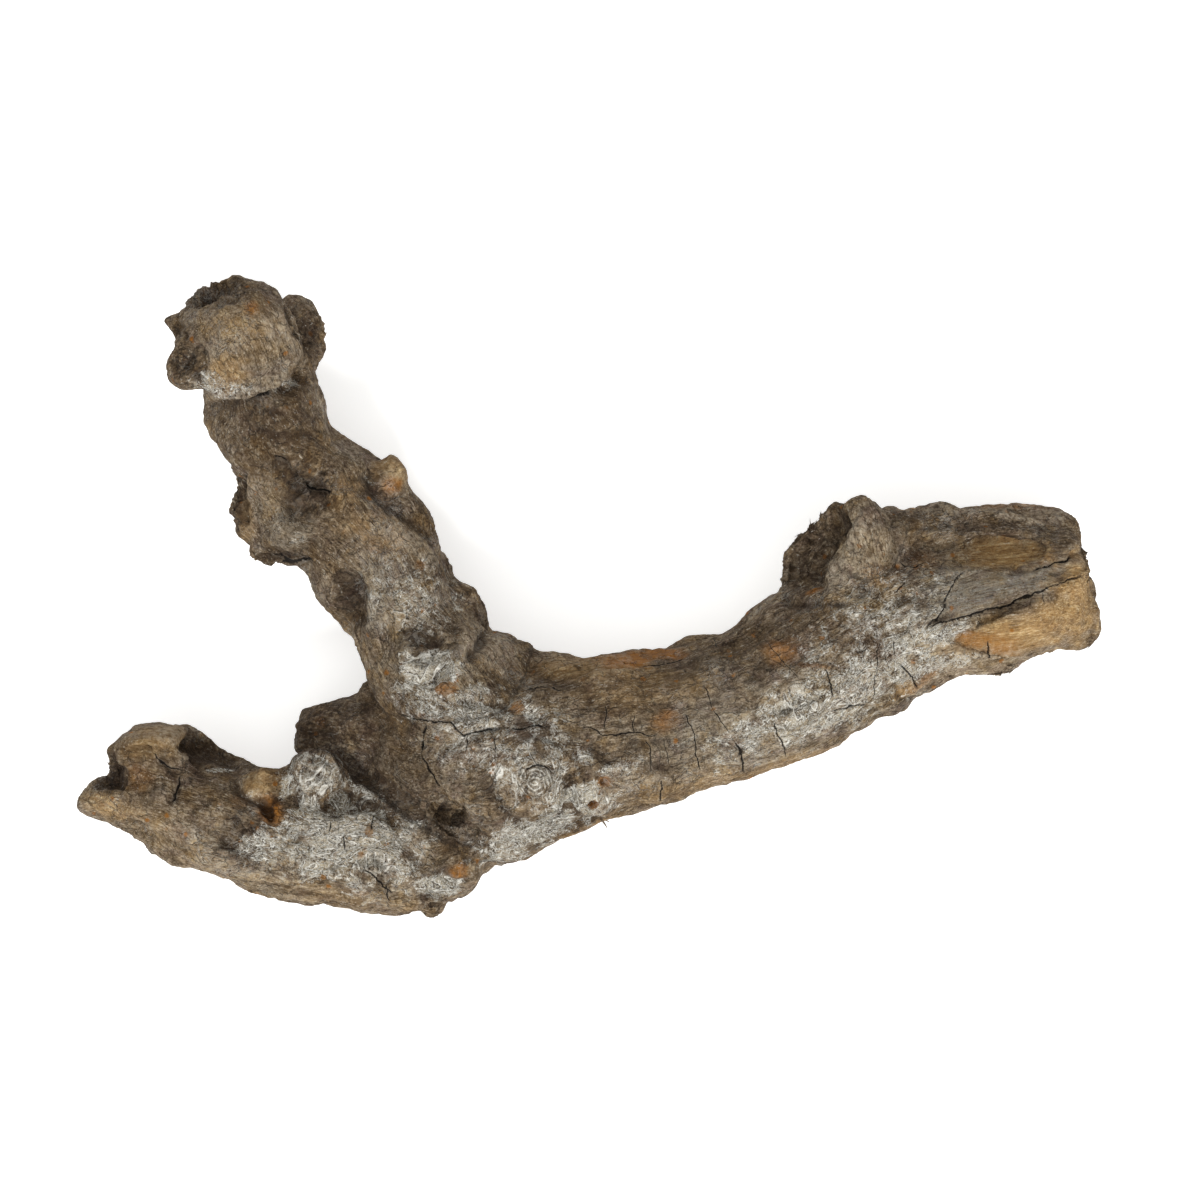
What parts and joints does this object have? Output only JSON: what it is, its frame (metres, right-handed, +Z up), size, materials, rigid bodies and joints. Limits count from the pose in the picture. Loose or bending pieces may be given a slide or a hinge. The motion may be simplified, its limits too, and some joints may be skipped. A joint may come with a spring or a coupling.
{
  "type": "driftwood piece",
  "caption": "Forked, gnarled piece of driftwood lying on its side, with a knotted branch, a short broken limb and a split end.",
  "frame": {"origin": "on the surface that the piece lies on, under the middle of its bounding box", "axes": "+X along the trunk towards its broken end, +Y towards the knotted head of the branch, +Z up"},
  "size_m": [0.453, 0.2824, 0.1078],
  "materials": {
    "driftwood_wood": "weathered bare wood, dry and matt"
  },
  "bodies": {
    "root": {"driftwood": "driftwood_wood"}
  },
  "joints": []
}
